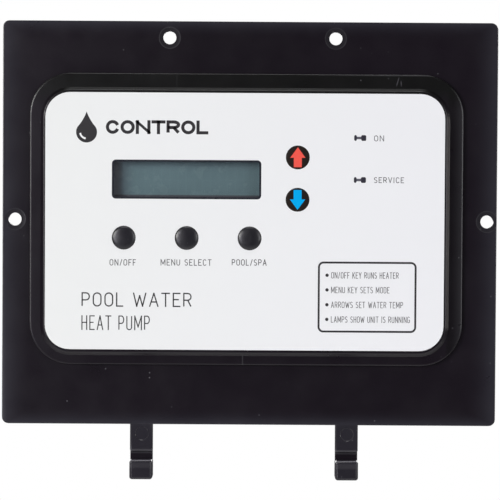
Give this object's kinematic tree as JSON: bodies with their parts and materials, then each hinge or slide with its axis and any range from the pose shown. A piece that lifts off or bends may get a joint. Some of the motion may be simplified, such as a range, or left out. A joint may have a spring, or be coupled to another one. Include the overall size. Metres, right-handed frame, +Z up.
{
  "type": "heat pump control panel",
  "caption": "Flat black control panel for a pool heat pump: raised rounded frame, white membrane keypad, character display, lamp windows, screw flange and two lower hooks.",
  "frame": {"origin": "on the flat front face of the flange, midway across it and in the middle of the plain band below the raised frame", "axes": "+X to the user's right along the panel's width, +Y into the cabinet, +Z up along the panel's height; the panel faces -Y"},
  "size_m": [0.214, 0.0396, 0.1979],
  "materials": {
    "bezel": "moulded black ABS, satin with fine scuffs",
    "overlay": "white printed polycarbonate film, light gloss",
    "window": "clear polycarbonate window with a dark printed border",
    "lamp_window": "smoked clear window",
    "keypad_film": "dark polyester spacer",
    "circuit_film": "polyester circuit with printed silver tracks",
    "tail": "flexible polyester tail",
    "lamp": "small surface-mount lamp",
    "key": "black key cap, satin",
    "snap_dome": "stainless spring dome",
    "lcd_frame": "dark steel frame",
    "lcd_glass": "liquid crystal cell, grey-green when off",
    "lcd_light": "diffuser",
    "board": "green solder mask",
    "black_part": "black moulded component",
    "screw": "zinc-plated steel",
    "relay": "blue relay case",
    "terminal": "green terminal housing",
    "header": "natural nylon",
    "sleeve": "printed sleeve over an aluminium can",
    "fuse": "glass tube with metal caps",
    "clip": "tinned brass clip",
    "sink": "extruded aluminium",
    "crystal": "steel can"
  },
  "bodies": {
    "panel": {"bezel": "bezel", "graphic_overlay": "overlay", "display_window": "window", "lamp_window_on": "lamp_window", "lamp_window_service": "lamp_window", "membrane_spacer": "keypad_film", "membrane_circuit": "circuit_film", "keypad_tail": "tail", "led_on": "lamp", "led_service": "lamp", "lcd_frame": "lcd_frame", "lcd_glass": "lcd_glass", "lcd_backlight": "lcd_light", "lcd_board": "board", "lcd_header": "black_part", "control_board": "board", "relay_1": "relay", "relay_2": "relay", "relay_3": "relay", "terminal_block": "terminal", "power_terminal": "terminal", "fuse": "fuse", "fuse_clip_1": "clip", "fuse_clip_2": "clip", "capacitor_1": "sleeve", "capacitor_2": "sleeve", "capacitor_3": "sleeve", "heat_sink": "sink", "regulator": "black_part", "microcontroller": "black_part", "driver_chip": "black_part", "crystal": "crystal", "sensor_header": "header", "comm_header": "header", "tail_connector": "header", "dome_on_off": "snap_dome", "dome_menu_select": "snap_dome", "dome_pool_spa": "snap_dome", "dome_up": "snap_dome", "dome_down": "snap_dome", "lcd_screw_1": "screw", "board_screw_1": "screw", "lcd_screw_2": "screw", "board_screw_2": "screw", "lcd_screw_3": "screw", "board_screw_3": "screw", "lcd_screw_4": "screw", "board_screw_4": "screw"},
    "key_on_off": {"key_on_off": "key"},
    "key_menu_select": {"key_menu_select": "key"},
    "key_pool_spa": {"key_pool_spa": "key"},
    "key_up": {"key_up": "key"},
    "key_down": {"key_down": "key"}
  },
  "joints": [
    {"name": "on_off_press", "type": "slide", "parent": "panel", "child": "key_on_off", "axis": [0, 1, 0], "range_m": [0, 0.0005], "stiffness_N_per_m": 600, "deforming": ["dome_on_off"]},
    {"name": "menu_select_press", "type": "slide", "parent": "panel", "child": "key_menu_select", "axis": [0, 1, 0], "range_m": [0, 0.0005], "stiffness_N_per_m": 600, "deforming": ["dome_menu_select"]},
    {"name": "pool_spa_press", "type": "slide", "parent": "panel", "child": "key_pool_spa", "axis": [0, 1, 0], "range_m": [0, 0.0005], "stiffness_N_per_m": 600, "deforming": ["dome_pool_spa"]},
    {"name": "up_press", "type": "slide", "parent": "panel", "child": "key_up", "axis": [0, 1, 0], "range_m": [0, 0.0005], "stiffness_N_per_m": 600, "deforming": ["dome_up"]},
    {"name": "down_press", "type": "slide", "parent": "panel", "child": "key_down", "axis": [0, 1, 0], "range_m": [0, 0.0005], "stiffness_N_per_m": 600, "deforming": ["dome_down"]}
  ]
}
